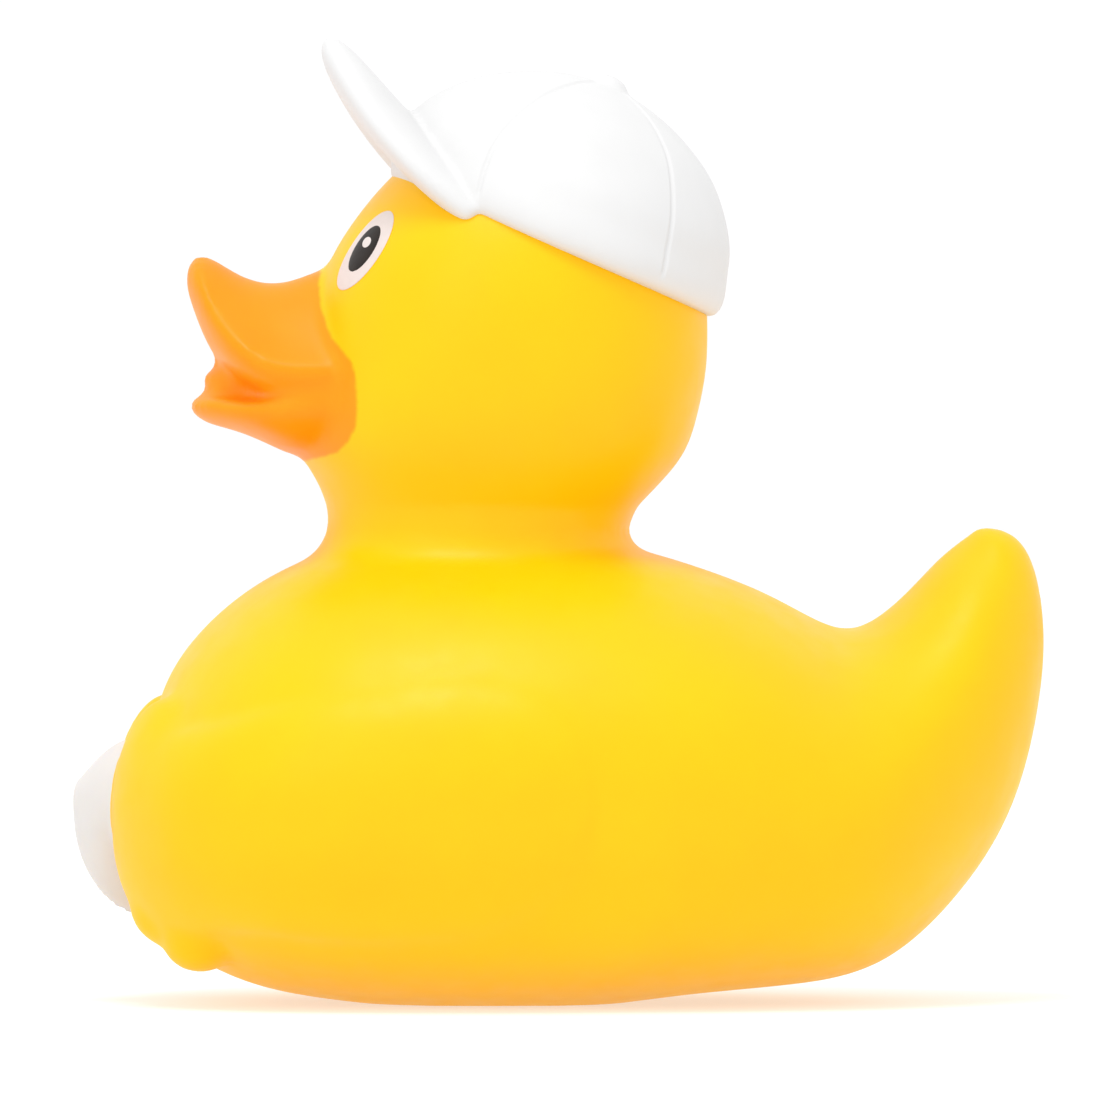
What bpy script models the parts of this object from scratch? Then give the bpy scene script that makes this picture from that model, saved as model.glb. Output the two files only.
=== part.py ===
"""Rubber duck with a cap, holding a heart: one hollow soft-vinyl moulding and the squeaker in its air hole.

Metres, +Z up, facing -Y, standing on z = 0, mirrored about x = 0. Every form is a UV sphere whose rings are carried
to stations read in millimetres, then joined by exact Booleans and hollowed.
"""

import math

import bmesh
import bpy
import numpy as np
from mathutils import Vector
from mathutils.bvhtree import BVHTree

MM = 0.001
WALL = 2.2  # moulded wall, mm
NECK_FILLET, NECK_FILLET_LEAN = 3.3, 1.0  # at the sides, and how much wider in front than at the sides

# Stations: (top or front point y, z), (bottom or back point y, z), half width, place of the widest line
# from the bottom (0) to the top (1), fullness of the top half, fullness of the bottom half (2 is an ellipse).
BODY = [
    ((-38.6, 17.0), (-38.6, 17.0), 0.0, 0.46, 2.0, 2.2),
    ((-38.5, 20.8), (-38.2, 12.6), 8.0, 0.46, 2.0, 2.2),
    ((-37.8, 26.0), (-36.7, 7.7), 14.5, 0.46, 2.0, 2.2),
    ((-36.0, 31.0), (-34.2, 4.6), 19.8, 0.46, 2.0, 2.3),
    ((-32.7, 35.3), (-30.4, 2.5), 23.8, 0.46, 2.0, 2.4),
    ((-28.4, 38.8), (-26.0, 1.15), 26.8, 0.46, 2.0, 2.4),
    ((-22.0, 41.9), (-20.0, 0.2), 29.0, 0.46, 2.0, 2.4),
    ((-14.0, 43.6), (-13.0, -0.45), 30.2, 0.46, 2.0, 2.4),
    ((-5.0, 43.9), (-5.0, -0.6), 30.6, 0.46, 2.0, 2.4),
    ((4.0, 43.0), (3.0, -0.3), 30.2, 0.46, 2.0, 2.4),
    ((12.7, 40.7), (12.0, 0.75), 28.8, 0.47, 2.0, 2.4),
    ((20.2, 37.7), (21.0, 1.6), 26.2, 0.48, 1.95, 2.3),
    ((25.8, 35.0), (30.0, 3.8), 22.6, 0.50, 1.85, 2.2),
    ((29.5, 35.7), (37.0, 9.8), 18.4, 0.53, 1.75, 2.1),
    ((33.3, 39.0), (42.4, 18.5), 13.4, 0.55, 1.65, 2.0),
    ((36.4, 42.1), (44.95, 28.5), 9.0, 0.54, 1.6, 1.9),
    ((38.6, 43.8), (45.3, 35.5), 5.6, 0.52, 1.6, 1.9),
    ((39.9, 44.3), (44.3, 40.9), 3.1, 0.5, 1.8, 2.0),
    ((42.4, 43.6), (42.4, 43.6), 0.0, 0.5, 2.0, 2.0),
]
NECK_FOOT = ((-21.5, 45.0), (6.5, 45.0), 13.3)  # the waist, where the fillet starts
HEAD = [
    ((-21.6, 46.2), (7.3, 46.2), 13.6),
    ((-22.6, 48.7), (9.7, 48.7), 15.0),
    ((-24.0, 51.3), (11.7, 51.3), 16.3),
    ((-24.2, 55.0), (13.0, 55.0), 17.5),
    ((-23.9, 59.0), (13.75, 59.0), 18.0),
    ((-23.2, 63.0), (13.9, 63.0), 18.1),
    ((-22.2, 67.0), (13.6, 67.0), 17.7),
    ((-20.9, 70.0), (12.7, 70.0), 16.9),
    ((-19.0, 73.0), (11.2, 73.0), 15.6),
    ((-15.9, 76.7), (8.7, 76.7), 13.2),
    ((-12.0, 80.0), (5.2, 80.0), 9.9),
    ((-7.5, 82.6), (1.0, 82.6), 5.2),
    ((-3.4, 83.5), (-3.4, 83.5), 0.0),
]
BEAK_TOP = [
    ((-13.0, 62.0), (-13.0, 62.0), 0.0, 0.4, 2.0, 2.4),
    ((-14.0, 67.0), (-14.0, 57.0), 6.5, 0.35, 2.0, 2.6),
    ((-18.0, 69.3), (-18.0, 55.6), 9.9, 0.28, 2.0, 3.0),
    ((-22.4, 68.3), (-23.0, 55.6), 10.8, 0.28, 1.9, 3.0),
    ((-26.5, 67.1), (-27.2, 56.5), 10.8, 0.30, 1.8, 3.0),
    ((-29.4, 67.7), (-29.8, 58.0), 9.9, 0.34, 1.8, 2.8),
    ((-31.5, 68.9), (-31.7, 59.8), 8.0, 0.40, 1.8, 2.6),
    ((-33.0, 69.6), (-33.0, 62.0), 6.0, 0.48, 1.9, 2.4),
    ((-34.1, 69.3), (-34.0, 64.5), 3.7, 0.52, 2.0, 2.2),
    ((-34.7, 67.3), (-34.7, 67.3), 0.0, 0.5, 2.0, 2.0),
]
BEAK_LOW = [
    ((-14.0, 54.0), (-14.0, 54.0), 0.0, 0.6, 2.4, 2.0),
    ((-15.0, 56.5), (-15.0, 51.5), 6.0, 0.6, 2.4, 2.0),
    ((-19.5, 57.3), (-20.5, 50.9), 9.0, 0.62, 2.6, 2.0),
    ((-24.0, 57.0), (-24.4, 51.0), 9.6, 0.66, 2.8, 2.0),
    ((-28.0, 56.6), (-27.8, 52.4), 8.9, 0.68, 2.8, 2.0),
    ((-31.0, 56.8), (-30.8, 53.5), 6.9, 0.64, 2.6, 2.0),
    ((-33.1, 57.1), (-32.8, 54.1), 4.4, 0.60, 2.2, 2.0),
    ((-34.1, 56.5), (-33.9, 54.8), 2.4, 0.5, 2.0, 2.0),
    ((-34.45, 55.7), (-34.45, 55.7), 0.0, 0.5, 2.0, 2.0),
]
TONGUE_MIDDLE, TONGUE_RADII = (0.0, -26.4, 57.3), (5.2, 6.9, 2.6)

CAP_MIDDLE = (-0.75, 70.85)  # middle of the rim, y and z
CAP_BACK, CAP_UP = (0.9195, -0.393), (0.393, 0.9195)  # along the rim plane to the back, and square to it
# height over the rim plane, front reach, back reach, half width
CROWN = [
    (-3.0, -1.0, 2.0, 0.0),
    (-2.2, -8.0, 9.0, 8.5),
    (-0.7, -14.6, 15.3, 15.6),
    (-0.1, -16.1, 16.8, 17.3),
    (1.4, -16.7, 17.0, 17.6),
    (3.3, -16.95, 16.5, 17.2),
    (5.5, -16.8, 15.85, 16.6),
    (7.5, -16.0, 14.8, 15.6),
    (9.5, -14.5, 13.3, 14.1),
    (11.3, -12.6, 11.5, 12.3),
    (12.9, -10.3, 9.1, 9.9),
    (14.15, -7.7, 6.5, 7.3),
    (15.1, -5.0, 3.5, 4.3),
    (15.65, -0.7, -0.7, 0.0),
]
PEAK_START, PEAK_OUT, PEAK_UP = (-8.3, 73.9), (-0.638, 0.769), (0.769, 0.638)
PEAK_HALF_WIDTH, PEAK_LENGTH, PEAK_BEHIND, PEAK_HALF_THICK = 15.5, 20.9, 2.6, 2.05
PEAK_ARCH = 1.6
BUTTON_HEIGHT, BUTTON_RADIUS, BUTTON_RISE = 15.2, 2.0, 1.4

HEART_FACE_Y, HEART_MIDDLE_Z, HEART_SCALE, HEART_DEPTH, HEART_LEAN = -37.9, 17.7, 0.585, 7.35, 0.15

WING_AXIS_Y = -10.0  # level rays from here carry the wing onto the body
WING_BURIED, WING_SUNK = 0.9, 0.8  # back and rim under the body's face, mm
# Stations of a wing from its rear end: (degrees round from the front, height) of the top edge and of the
# bottom edge, and how far it stands off the body
WING = [
    ((113.0, 18.8), (113.0, 18.8), 0.0, 0.5, 2.6, 2.6),
    ((112.0, 23.0), (112.0, 14.6), 1.0, 0.5, 2.6, 2.6),
    ((109.0, 28.3), (109.0, 10.6), 1.4, 0.5, 2.6, 2.6),
    ((102.0, 31.0), (103.0, 7.9), 1.6, 0.5, 2.6, 2.6),
    ((92.0, 31.6), (93.0, 6.2), 1.7, 0.5, 2.6, 2.6),
    ((78.0, 30.7), (78.0, 5.6), 1.8, 0.5, 2.6, 2.6),
    ((62.0, 29.3), (62.0, 5.9), 2.0, 0.5, 2.6, 2.6),
    ((48.0, 27.4), (48.0, 6.9), 2.3, 0.5, 2.6, 2.6),
    ((38.0, 26.3), (39.0, 6.6), 2.7, 0.5, 2.6, 2.6),
    ((32.0, 26.5), (32.0, 5.6), 3.2, 0.5, 2.6, 2.6),
    ((26.0, 27.6), (26.0, 5.0), 3.8, 0.5, 2.6, 2.6),
    ((20.0, 27.8), (20.0, 5.4), 4.1, 0.5, 2.6, 2.6),
    ((15.0, 25.8), (15.5, 7.4), 3.9, 0.5, 2.6, 2.6),
    ((12.4, 21.5), (12.9, 11.0), 2.8, 0.5, 2.6, 2.6),
    ((12.0, 16.3), (12.0, 16.3), 0.0, 0.5, 2.6, 2.6),
]
FEATHERS = [((10.4, -35.0, 9.4), (4.2, 5.0, 4.2)), ((12.4, -32.4, 6.6), (4.2, 4.4, 3.4))]  # middles and radii

HOLE_RADIUS, RECESS_RADIUS, RECESS_DEPTH, HOLE_Y = 4.5, 6.2, 1.5, -6.0
SQUEAKER = [  # radius and height of the squeaker's outline
    (1.1, 8.2), (3.3, 8.2), (4.1, 7.6), (4.1, 1.2), (5.8, 1.2), (5.8, 0.6), (5.5, 0.3), (1.1, 0.3),
]


def clear_scene():
    for thing in list(bpy.data.objects):
        bpy.data.objects.remove(thing, do_unlink=True)
    for group in list(bpy.data.collections):
        bpy.data.collections.remove(group)


def collection(name):
    made = bpy.data.collections.new(name)
    bpy.context.scene.collection.children.link(made)
    return made


def material(name, colour, roughness):
    made = bpy.data.materials.new(name)
    made.use_nodes = True
    shader = made.node_tree.nodes["Principled BSDF"]
    shader.inputs["Base Color"].default_value = (*colour, 1.0)
    shader.inputs["Roughness"].default_value = roughness
    made.diffuse_color = (*colour, 1.0)
    return made


def spline(knots, rows, wanted):
    """Natural cubic spline through rows at knots, read at wanted."""
    knots, rows, wanted = (np.asarray(a, float) for a in (knots, rows, wanted))
    step = np.diff(knots)
    count = len(knots)
    matrix = np.eye(count)
    right = np.zeros_like(rows)
    for i in range(1, count - 1):
        matrix[i, i - 1 : i + 2] = step[i - 1], 2 * (step[i - 1] + step[i]), step[i]
        right[i] = 6 * ((rows[i + 1] - rows[i]) / step[i] - (rows[i] - rows[i - 1]) / step[i - 1])
    bend = np.linalg.solve(matrix, right)
    at = np.clip(np.searchsorted(knots, wanted) - 1, 0, count - 2)
    h, a, b = step[at, None], (knots[at + 1] - wanted)[:, None], (wanted - knots[at])[:, None]
    return (
        bend[at] * a**3 / (6 * h)
        + bend[at + 1] * b**3 / (6 * h)
        + (rows[at] / h - bend[at] * h / 6) * a
        + (rows[at + 1] / h - bend[at + 1] * h / 6) * b
    )


def turned(row):
    """A station as met when the outline is followed round an end: top and bottom swap and the width changes sign."""
    return [row[2], row[3], row[0], row[1], -row[4], row[5], row[6], row[7]]


def rings_of(stations, count):
    """Stations read at count places, evenly along the form, with both ends rounded."""
    flat = [[*s[0], *s[1], *s[2:]] + [0.5, 2.0, 2.0][len(s) - 3 :] for s in stations]
    extra = 2
    flat = [turned(r) for r in flat[extra:0:-1]] + flat + [turned(r) for r in flat[-2 : -2 - extra : -1]]
    rows = np.array(flat, float)
    lengths = np.linalg.norm(np.diff(rows[:, :5], axis=0), axis=1)
    knots = np.concatenate([[0], np.cumsum(lengths)])
    wanted = np.linspace(knots[extra], knots[-1 - extra], count)
    return spline(knots, rows, wanted)


def sphere_grid(segments, rings):
    """A UV sphere, with each vertex's ring (0 to rings) and segment."""
    made = bmesh.new()
    bmesh.ops.create_uvsphere(made, u_segments=segments, v_segments=rings, radius=1.0)
    places = []
    for vertex in made.verts:
        x, y, z = vertex.co
        ring = round(math.acos(max(-1.0, min(1.0, z))) / math.pi * rings)
        segment = round(math.atan2(y, x) / (2 * math.pi) * segments) % segments
        places.append((ring, segment))
    return made, places


def finish(made, name, group, look):
    bmesh.ops.triangulate(made, faces=made.faces)
    bmesh.ops.recalc_face_normals(made, faces=made.faces)
    if made.calc_volume(signed=True) < 0:
        bmesh.ops.reverse_faces(made, faces=made.faces)
    mesh = bpy.data.meshes.new(name)
    made.to_mesh(mesh)
    made.free()
    mesh.materials.append(look)
    thing = bpy.data.objects.new(name, mesh)
    group.objects.link(thing)
    if group.name.endswith("_helpers"):
        thing.hide_render = True
        thing.display_type = "WIRE"
    return thing


def section(row, angle):
    """The point of one ring at an angle from its top, in mm."""
    top, low, half, widest, full_top, full_low = row[0:2], row[2:4], row[4], row[5], row[6], row[7]
    middle = low + widest * (top - low)
    c, s = math.cos(angle), math.sin(angle)
    end, full = (top, full_top) if c >= 0 else (low, full_low)
    along = abs(c) ** (2 / full)
    across = math.copysign(abs(s) ** (2 / full), s) if abs(s) > 1e-9 else 0.0
    y, z = middle + along * (end - middle)
    return np.array([abs(half) * across, y, z])


def loft(name, stations, segments, rings, group, look, floor=None):
    rows = rings_of(stations, rings + 1)
    made, places = sphere_grid(segments, rings)
    for vertex, (ring, segment) in zip(made.verts, places):
        point = section(rows[ring], 2 * math.pi * segment / segments)
        if floor is not None:
            point[2] = max(point[2], floor)
        vertex.co = Vector(point) * MM
    return finish(made, name, group, look)


def shaped_sphere(name, segments, rings, place, group, look):
    """A UV sphere with every vertex carried by place(unit point), in mm."""
    made = bmesh.new()
    bmesh.ops.create_uvsphere(made, u_segments=segments, v_segments=rings, radius=1.0)
    for vertex in made.verts:
        vertex.co = Vector(place(np.array(vertex.co))) * MM
    return finish(made, name, group, look)


def surface_of(thing):
    made = bmesh.new()
    made.from_mesh(thing.data)
    tree = BVHTree.FromBMesh(made)
    made.free()
    return tree


def drop_onto(tree, x, y):
    hit = tree.ray_cast(Vector((x, y, 200.0)) * MM, Vector((0, 0, -1)))[0]
    return hit.z / MM if hit else 0.0


def head_mesh(name, body_tree, segments, rings, group, look):
    """The head, its neck flared onto the body by a fillet."""
    arc_steps = 5
    stations = [(*s, 0.5, 2.05, 2.05) for s in HEAD]
    flat = [[*s[0], *s[1], *s[2:]] for s in stations]
    flat = flat + [turned(r) for r in flat[-2:-4:-1]]
    rows = np.array(flat, float)
    knots = np.concatenate([[0], np.cumsum(np.linalg.norm(np.diff(rows[:, :5], axis=0), axis=1))])
    upper = rings - arc_steps - 3
    read = spline(knots, rows, np.linspace(0, knots[len(stations) - 1], upper + 1))
    foot = np.array([*NECK_FOOT[0], *NECK_FOOT[1], NECK_FOOT[2], 0.5, 2.05, 2.05])
    middle_y = (foot[0] + foot[2]) / 2
    made, places = sphere_grid(segments, rings)
    arcs = []
    for segment in range(segments):
        start = section(foot, 2 * math.pi * segment / segments)
        out = np.array([start[0], start[1] - middle_y])
        out = out / np.linalg.norm(out)
        angles = np.linspace(0, math.pi / 2, 19)
        radius = NECK_FILLET - NECK_FILLET_LEAN * out[1]
        reach = radius * (1 - np.cos(angles))
        lands = [drop_onto(body_tree, start[0] + out[0] * r, start[1] + out[1] * r) for r in reach]
        heights = np.array(lands) + radius * np.sin(angles)
        best = int(heights.argmax())
        centre = heights[best]
        points = []
        for k in range(arc_steps + 1):
            a = angles[best] * k / arc_steps
            r = radius * (1 - math.cos(a))
            points.append((start[0] + out[0] * r, start[1] + out[1] * r, centre - radius * math.sin(a)))
        r = radius * (1 - math.cos(angles[best])) + 1.4
        x, y = start[0] + out[0] * r, start[1] + out[1] * r
        points.append((x, y, drop_onto(body_tree, x, y) - 0.5))
        points.append((start[0] * 0.8, middle_y + (start[1] - middle_y) * 0.8, 33.0))
        arcs.append(points)
    for vertex, (ring, segment) in zip(made.verts, places):
        if ring <= upper:
            point = section(read[upper - ring], 2 * math.pi * segment / segments)
        elif ring < rings:
            point = arcs[segment][ring - upper - 1]
        else:
            point = (0.0, middle_y, 32.0)
        vertex.co = Vector(point) * MM
    return finish(made, name, group, look)


def on_cap(along, height, across=0.0):
    return (
        across,
        CAP_MIDDLE[0] + along * CAP_BACK[0] + height * CAP_UP[0],
        CAP_MIDDLE[1] + along * CAP_BACK[1] + height * CAP_UP[1],
    )


def crown_stations():
    made = []
    for height, front, back, half in CROWN:
        made.append((on_cap(front, height)[1:], on_cap(back, height)[1:], half, 0.5, 2.0, 2.0))
    return made


def peak_place(unit):
    x, forward, up = unit
    reach = math.hypot(x, forward)
    along = forward * (PEAK_LENGTH if forward > 0 else PEAK_BEHIND)
    across = PEAK_HALF_WIDTH * x
    thick = math.copysign(PEAK_HALF_THICK * max(0.0, 1 - reach**7) ** 0.5, up)
    share = min(1.0, max(0.0, along / PEAK_LENGTH))
    lift = 1.1 - 5.2 * share + 3.9 * share**2 - PEAK_ARCH * x * x + thick
    return (
        across,
        PEAK_START[0] + along * PEAK_OUT[0] + lift * PEAK_UP[0],
        PEAK_START[1] + along * PEAK_OUT[1] + lift * PEAK_UP[1],
    )


def button_place(unit):
    return on_cap(-0.7 + BUTTON_RADIUS * unit[1], BUTTON_HEIGHT + BUTTON_RISE * unit[2], BUTTON_RADIUS * unit[0])


def heart_outline(t):
    x = 16 * math.sin(t) ** 3
    z = 13 * math.cos(t) - 5 * math.cos(2 * t) - 2 * math.cos(3 * t) - math.cos(4 * t)
    return np.array([x, z]) * HEART_SCALE


def heart_place(unit):
    x, up, out = unit
    reach = math.hypot(x, up)
    turn = math.atan2(x, up)
    oval = np.array([7.6 * math.sin(turn), 8.2 * math.cos(turn) - 1.0])  # puffs the middle out, clear of the notch
    share = reach**2.2
    across, rise = (heart_outline(turn) * share + oval * (1 - share)) * reach
    depth = HEART_DEPTH if out > 0 else 4.0
    y = HEART_FACE_Y - HEART_LEAN * max(0.0, rise) - math.copysign(depth * abs(out) ** 0.92, out)
    return across, y, HEART_MIDDLE_Z + rise


def wing(name, tree, segments, rings, group, look):
    """The left wing: stations laid round the body and stood off it."""
    rows = rings_of(WING, rings + 1)
    made, places = sphere_grid(segments, rings)
    for vertex, (ring, segment) in zip(made.verts, places):
        off, turn, height = section(rows[ring], 2 * math.pi * segment / segments)
        off = (off if off > 0 else off * WING_BURIED / max(rows[ring][4], 0.01)) - WING_SUNK
        turn = math.radians(turn)
        start = Vector((0, WING_AXIS_Y, height)) * MM
        hit, normal = tree.ray_cast(start, Vector((math.sin(turn), -math.cos(turn), 0)))[:2]
        vertex.co = hit + normal * off * MM
    return finish(made, name, group, look)


def mirrored(thing, name, group):
    made = bmesh.new()
    made.from_mesh(thing.data)
    for vertex in made.verts:
        vertex.co.x = -vertex.co.x
    return finish(made, name, group, thing.data.materials[0])


def inset(stations, first, last, by, reach):
    """Stations first to last drawn in by a wall, with an end added at each side, reach mm beyond."""
    made = []
    for s in stations[first:last]:
        top, low = np.array(s[0]), np.array(s[1])
        way = (top - low) / np.linalg.norm(top - low)
        made.append((tuple(top - way * by), tuple(low + way * by), s[2] - by, *s[3:]))
    for index, at in ((0, 0), (-1, len(made))):
        s, near = made[index], made[1 if index == 0 else -2]
        middle = (np.array(s[0]) + np.array(s[1])) / 2
        step = middle - (np.array(near[0]) + np.array(near[1])) / 2
        end = middle + step / np.linalg.norm(step) * reach
        made.insert(at if index == 0 else len(made), (tuple(end), tuple(end), 0.0, *s[3:]))
    return made


def cylinder(name, radius, z_low, z_high, group, look):
    made = bmesh.new()
    bmesh.ops.create_cone(made, cap_ends=True, segments=40, radius1=radius * MM, radius2=radius * MM,
                          depth=(z_high - z_low) * MM)
    for vertex in made.verts:
        vertex.co += Vector((0, HOLE_Y, (z_low + z_high) / 2)) * MM
    return finish(made, name, group, look)


def combine(base, others, operation):
    """One exact Boolean against all the others at once, so that nothing is rounded in between."""
    group = bpy.data.collections.new(f"{operation.lower()}_forms")
    bpy.data.collections["rubber_duck_helpers"].children.link(group)
    for other in others:
        group.objects.link(other)
    modifier = base.modifiers.new(operation.lower(), "BOOLEAN")
    modifier.operation = operation
    modifier.solver = "EXACT"
    modifier.operand_type = "COLLECTION"
    modifier.collection = group


def squeaker(group, look):
    """The whistle insert: an outline turned about its axis by a Screw."""
    mesh = bpy.data.meshes.new("squeaker")
    points = [(r * MM, 0.0, z * MM) for r, z in SQUEAKER]
    count = len(points)
    mesh.from_pydata(points, [(i, (i + 1) % count) for i in range(count)], [])
    mesh.materials.append(look)
    thing = bpy.data.objects.new("squeaker", mesh)
    thing.location = (0, HOLE_Y * MM, 0)
    group.objects.link(thing)
    turn = thing.modifiers.new("turn", "SCREW")
    turn.axis = "Z"
    turn.steps = turn.render_steps = 36
    turn.use_merge_vertices = True
    turn.merge_threshold = 0.000001
    turn.use_normal_flip = False
    return thing


def main():
    clear_scene()
    parts = collection("rubber_duck")
    helpers = collection("rubber_duck_helpers")
    helpers.hide_render = True
    yellow = material("yellow_soft_vinyl", (0.98, 0.62, 0.01), 0.35)
    orange = material("orange_spray_paint", (0.95, 0.28, 0.01), 0.4)
    white = material("white_spray_paint", (0.9, 0.89, 0.88), 0.4)
    pale = material("squeaker_polythene", (0.85, 0.85, 0.82), 0.45)

    duck = loft("duck", BODY, 44, 38, parts, yellow, floor=0.0)
    tree = surface_of(duck)
    head = head_mesh("head_form", tree, 40, 28, helpers, yellow)
    wings = [wing("wing_form_left", tree, 22, 26, helpers, yellow)]
    for number, (middle, radii) in enumerate(FEATHERS, 1):
        place = lambda p, middle=middle, radii=radii: np.array(middle) + p * np.array(radii)
        wings.append(shaped_sphere(f"feather_form_left_{number}", 18, 10, place, helpers, yellow))
    wings += [mirrored(form, form.name.replace("left", "right"), helpers) for form in wings]
    heart = shaped_sphere("heart_form", 38, 16, heart_place, helpers, white)
    beak = loft("beak_form_top", BEAK_TOP, 28, 18, helpers, orange)
    beak_low = loft("beak_form_low", BEAK_LOW, 26, 14, helpers, orange)
    tongue = shaped_sphere(
        "tongue_form", 20, 12, lambda p: np.array(TONGUE_MIDDLE) + p * np.array(TONGUE_RADII), helpers, orange
    )
    crown = loft("crown_form", crown_stations(), 44, 20, helpers, white)
    peak = shaped_sphere("peak_form", 40, 16, peak_place, helpers, white)
    button = shaped_sphere("button_form", 18, 10, button_place, helpers, white)
    combine(duck, [head, heart, *wings, beak, beak_low, tongue, crown, peak, button], "UNION")

    hollow = loft("hollow_form_body", inset(BODY, 3, 14, WALL, 1.6), 30, 20, helpers, yellow)
    head_room = [(*s, 0.5, 2.0, 2.0) for s in [((-21.6, 38.0), (7.0, 38.0), 13.5), NECK_FOOT] + HEAD[:-2]]
    hollow_head = loft("hollow_form_head", inset(head_room, 0, len(head_room), WALL, 1.6), 26, 18, helpers, yellow)
    hole = cylinder("hole_form", HOLE_RADIUS, -2.0, 9.0, helpers, yellow)
    recess = cylinder("recess_form", RECESS_RADIUS, -2.0, RECESS_DEPTH, helpers, yellow)
    combine(duck, [hollow, hollow_head, hole, recess], "DIFFERENCE")
    for polygon in duck.data.polygons:
        polygon.use_smooth = True
    squeaker(parts, pale)


main()
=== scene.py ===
"""Rubber duck with a cap, holding a heart: the soft-vinyl moulding with its spray-painted and printed colours, its
moulded cap and its squeaker, in a plain studio.

Metres, +Z up, facing -Y, standing on z = 0, mirrored about x = 0. Shapes are read from tables in millimetres.
"""

import math

import bmesh
import bpy
import numpy as np
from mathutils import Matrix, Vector
from mathutils.bvhtree import BVHTree


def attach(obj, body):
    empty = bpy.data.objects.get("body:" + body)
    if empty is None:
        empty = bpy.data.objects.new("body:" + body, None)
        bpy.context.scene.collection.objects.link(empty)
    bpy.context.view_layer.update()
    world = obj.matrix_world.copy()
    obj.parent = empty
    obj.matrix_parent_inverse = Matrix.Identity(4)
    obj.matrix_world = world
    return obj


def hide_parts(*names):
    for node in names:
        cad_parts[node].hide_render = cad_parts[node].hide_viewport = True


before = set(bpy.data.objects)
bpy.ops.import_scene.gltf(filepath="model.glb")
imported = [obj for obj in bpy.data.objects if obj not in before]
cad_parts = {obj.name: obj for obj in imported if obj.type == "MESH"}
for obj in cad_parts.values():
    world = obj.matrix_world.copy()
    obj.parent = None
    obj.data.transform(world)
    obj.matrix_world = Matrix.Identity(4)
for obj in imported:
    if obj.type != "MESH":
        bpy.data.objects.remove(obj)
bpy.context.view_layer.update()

MM = 0.001
NECK_FILLET, NECK_FILLET_LEAN = 3.3, 1.0  # at the sides, and how much wider in front than at the sides
SKIN_GRID, CAP_GRID = 0.53, 0.31  # how closely the blended skins are drawn, mm

# Stations: (top or front point y, z), (bottom or back point y, z), half width, place of the widest line
# from the bottom (0) to the top (1), fullness of the top half, fullness of the bottom half (2 is an ellipse).
BODY = [
    ((-38.6, 17.0), (-38.6, 17.0), 0.0, 0.46, 2.0, 2.2),
    ((-38.5, 20.8), (-38.2, 12.6), 8.0, 0.46, 2.0, 2.2),
    ((-37.8, 26.0), (-36.7, 7.7), 14.5, 0.46, 2.0, 2.2),
    ((-36.0, 31.0), (-34.2, 4.6), 19.8, 0.46, 2.0, 2.3),
    ((-32.7, 35.3), (-30.4, 2.5), 23.8, 0.46, 2.0, 2.4),
    ((-28.4, 38.8), (-26.0, 1.15), 26.8, 0.46, 2.0, 2.4),
    ((-22.0, 41.9), (-20.0, 0.2), 29.0, 0.46, 2.0, 2.4),
    ((-14.0, 43.6), (-13.0, -0.45), 30.2, 0.46, 2.0, 2.4),
    ((-5.0, 43.9), (-5.0, -0.6), 30.6, 0.46, 2.0, 2.4),
    ((4.0, 43.0), (3.0, -0.3), 30.2, 0.46, 2.0, 2.4),
    ((12.7, 40.7), (12.0, 0.75), 28.8, 0.47, 2.0, 2.4),
    ((20.2, 37.7), (21.0, 1.6), 26.2, 0.48, 1.95, 2.3),
    ((25.8, 35.0), (30.0, 3.8), 22.6, 0.50, 1.85, 2.2),
    ((29.5, 35.7), (37.0, 9.8), 18.4, 0.53, 1.75, 2.1),
    ((33.3, 39.0), (42.4, 18.5), 13.4, 0.55, 1.65, 2.0),
    ((36.4, 42.1), (44.95, 28.5), 9.0, 0.54, 1.6, 1.9),
    ((38.6, 43.8), (45.3, 35.5), 5.6, 0.52, 1.6, 1.9),
    ((39.9, 44.3), (44.3, 40.9), 3.1, 0.5, 1.8, 2.0),
    ((42.4, 43.6), (42.4, 43.6), 0.0, 0.5, 2.0, 2.0),
]
NECK_FOOT = ((-21.5, 45.0), (6.5, 45.0), 13.3)  # the waist, where the fillet starts
HEAD = [
    ((-21.6, 46.2), (7.3, 46.2), 13.6),
    ((-22.6, 48.7), (9.7, 48.7), 15.0),
    ((-24.0, 51.3), (11.7, 51.3), 16.3),
    ((-24.2, 55.0), (13.0, 55.0), 17.5),
    ((-23.9, 59.0), (13.75, 59.0), 18.0),
    ((-23.2, 63.0), (13.9, 63.0), 18.1),
    ((-22.2, 67.0), (13.6, 67.0), 17.7),
    ((-20.9, 70.0), (12.7, 70.0), 16.9),
    ((-19.0, 73.0), (11.2, 73.0), 15.6),
    ((-15.9, 76.7), (8.7, 76.7), 13.2),
    ((-12.0, 80.0), (5.2, 80.0), 9.9),
    ((-7.5, 82.6), (1.0, 82.6), 5.2),
    ((-3.4, 83.5), (-3.4, 83.5), 0.0),
]
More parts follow.
